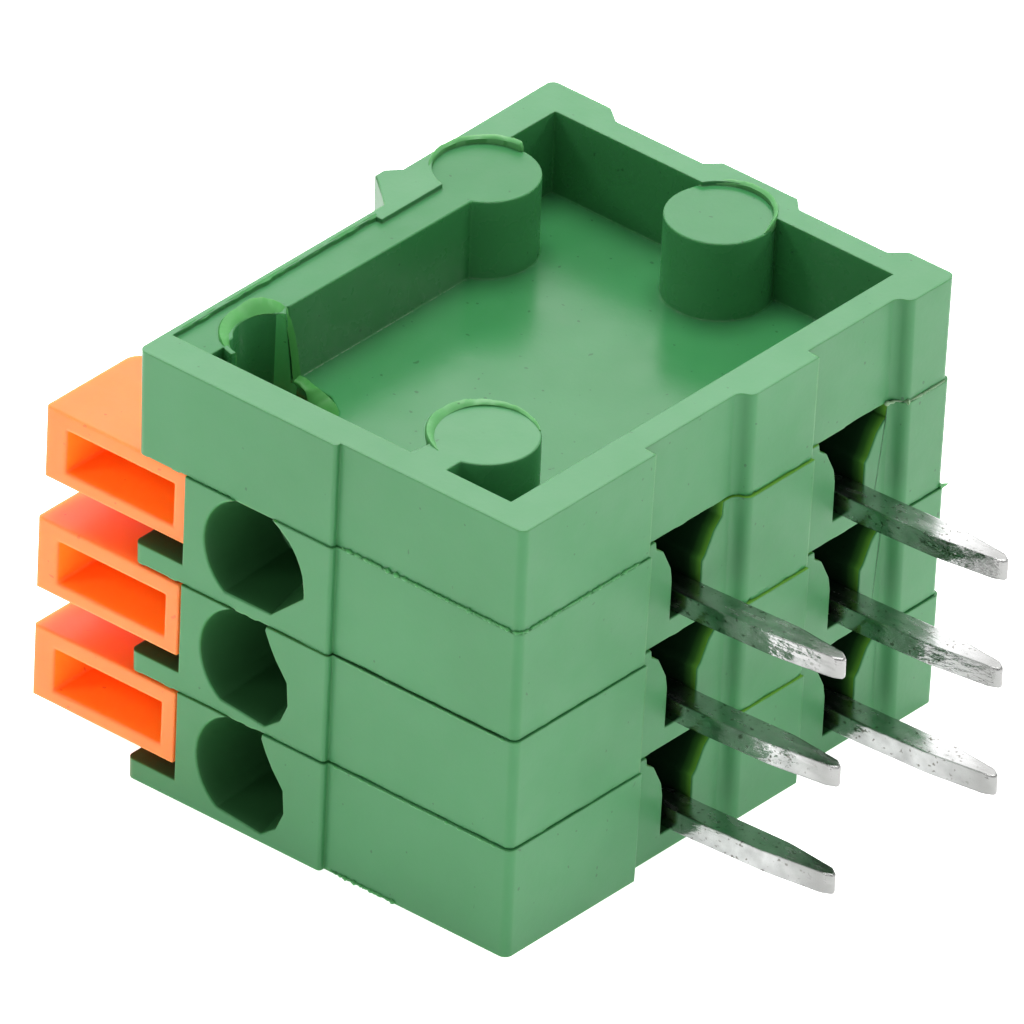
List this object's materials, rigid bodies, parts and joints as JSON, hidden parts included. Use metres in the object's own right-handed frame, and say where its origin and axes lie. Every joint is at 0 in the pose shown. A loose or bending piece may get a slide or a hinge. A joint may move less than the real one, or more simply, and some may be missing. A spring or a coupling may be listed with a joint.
{
  "type": "pcb spring terminal block",
  "caption": "Screwless spring terminal block for circuit boards: stacked green slices with round wire entries, orange push buttons, flat solder pins and an open tray-shaped end plate.",
  "frame": {"origin": "bottom centre of the whole block with its buttons and pins", "axes": "+X along the solder pins, away from the block; +Y along the wires, into the block; +Z along the stack of slices, to the end plate"},
  "size_m": [0.016, 0.0134, 0.01],
  "materials": {
    "green_plastic": "satin moulded",
    "orange_plastic": "satin moulded",
    "tinned_contact": "bright tin plating",
    "spring_steel": "plain rolled strip"
  },
  "bodies": {
    "housing": {"end_plate": "green_plastic", "pole_housing_1": "green_plastic", "pole_housing_2": "green_plastic", "pole_housing_3": "green_plastic", "contact_frame_1": "tinned_contact", "contact_frame_2": "tinned_contact", "contact_frame_3": "tinned_contact", "clamp_spring_1": "spring_steel", "clamp_spring_2": "spring_steel", "clamp_spring_3": "spring_steel"},
    "button_1": {"push_button_1": "orange_plastic"},
    "button_2": {"push_button_2": "orange_plastic"},
    "button_3": {"push_button_3": "orange_plastic"}
  },
  "joints": [
    {"name": "button_1_press", "type": "slide", "parent": "housing", "child": "button_1", "axis": [0, 1, 0], "range_m": [0, 0.0012], "stiffness_N_per_m": 3000, "springref_m": -0.001, "deforming": ["clamp_spring_1"]},
    {"name": "button_2_press", "type": "slide", "parent": "housing", "child": "button_2", "axis": [0, 1, 0], "range_m": [0, 0.0012], "stiffness_N_per_m": 3000, "springref_m": -0.001, "deforming": ["clamp_spring_2"]},
    {"name": "button_3_press", "type": "slide", "parent": "housing", "child": "button_3", "axis": [0, 1, 0], "range_m": [-0.00015, 0.00105], "stiffness_N_per_m": 3000, "springref_m": -0.001, "deforming": ["clamp_spring_3"]}
  ]
}
